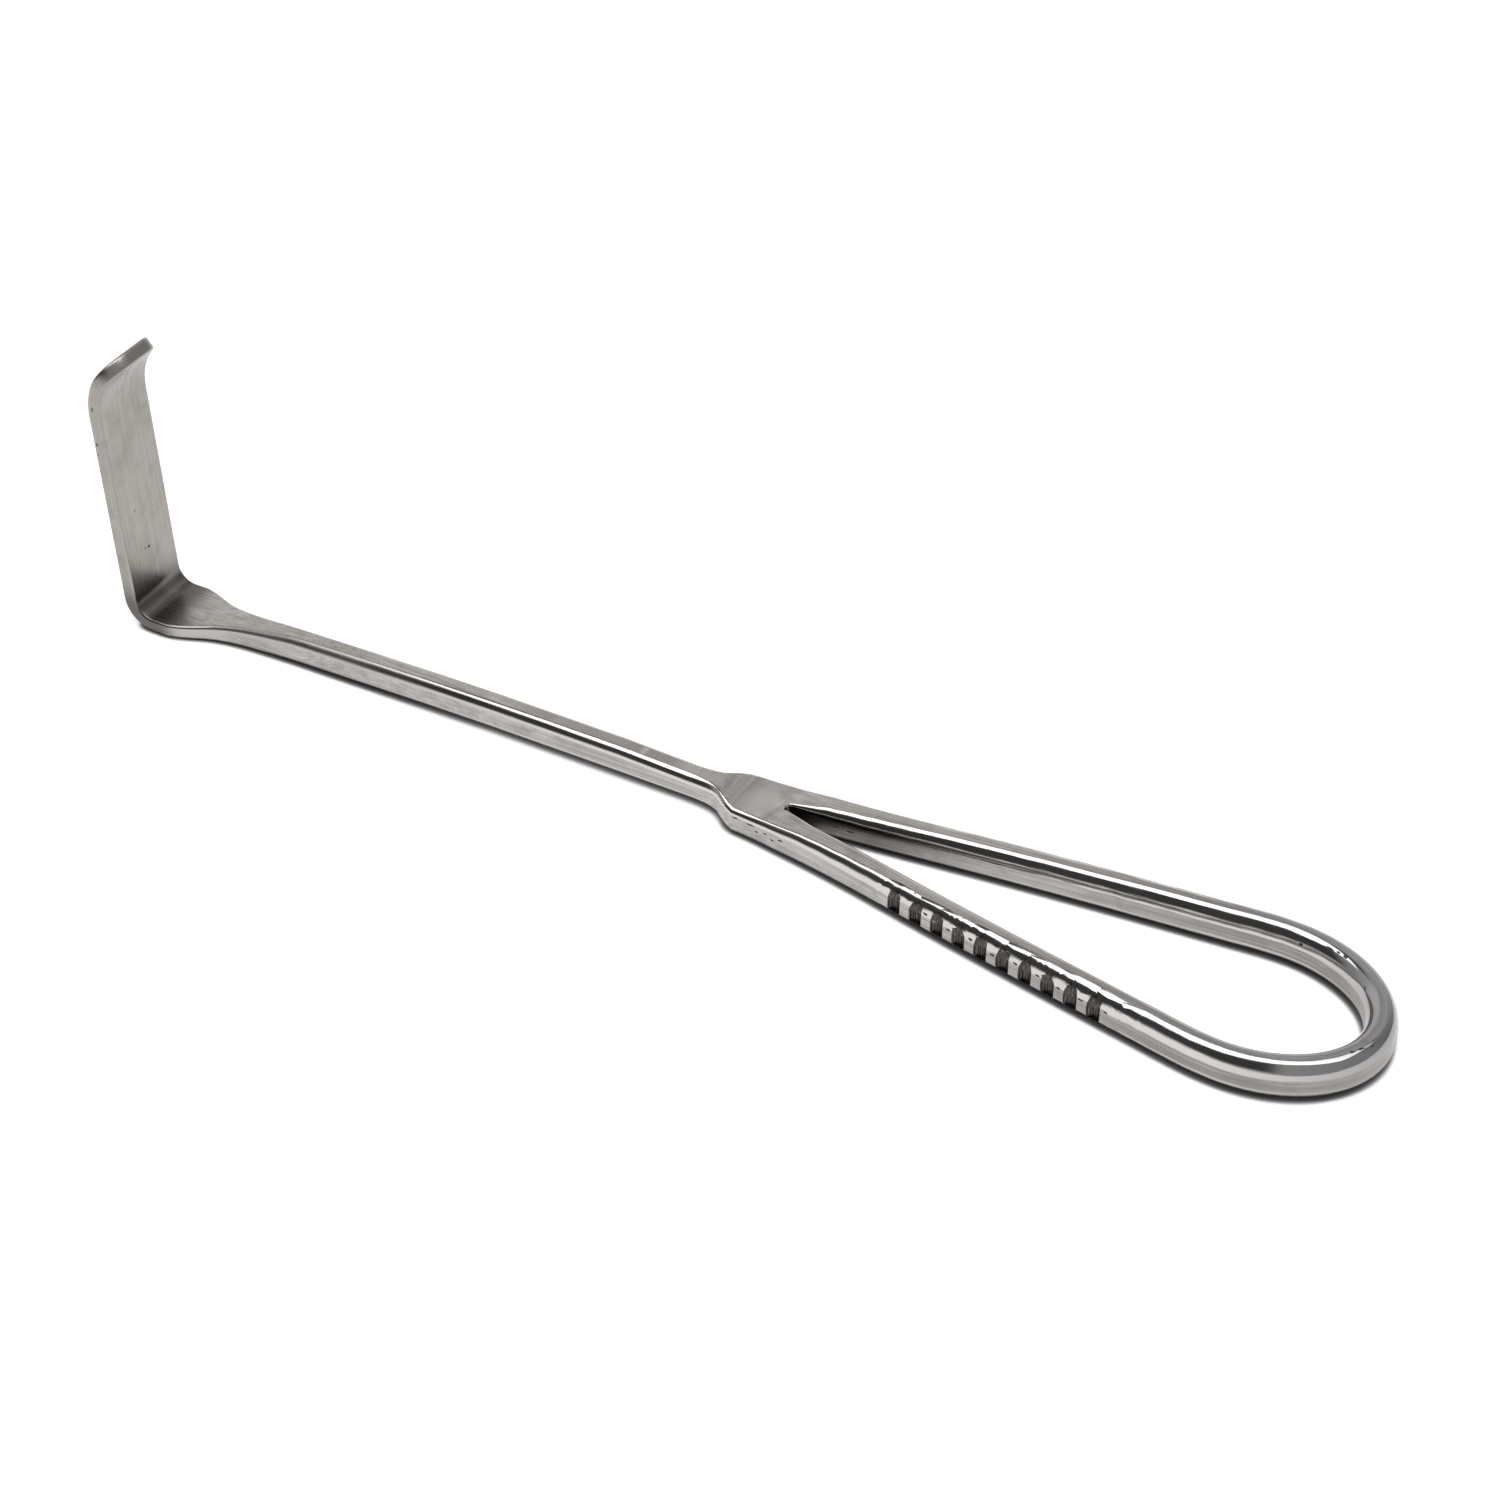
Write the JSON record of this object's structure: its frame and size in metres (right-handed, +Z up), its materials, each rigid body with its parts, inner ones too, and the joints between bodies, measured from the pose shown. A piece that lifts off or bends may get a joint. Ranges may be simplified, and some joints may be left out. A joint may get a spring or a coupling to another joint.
{
  "type": "handheld surgical retractor",
  "caption": "Forged handheld surgical retractor with an angled narrow blade, a slender shank and an open teardrop finger loop with grip notches.",
  "frame": {"origin": "middle of the underside of the whole piece, as it lies on its back", "axes": "+X along the shank from the blade to the finger loop, +Y across the width, +Z up the blade"},
  "size_m": [0.2174, 0.0322, 0.0498],
  "materials": {
    "steel": "satin flats, polished rounded edges"
  },
  "bodies": {
    "root": {"retractor": "steel"}
  },
  "joints": []
}
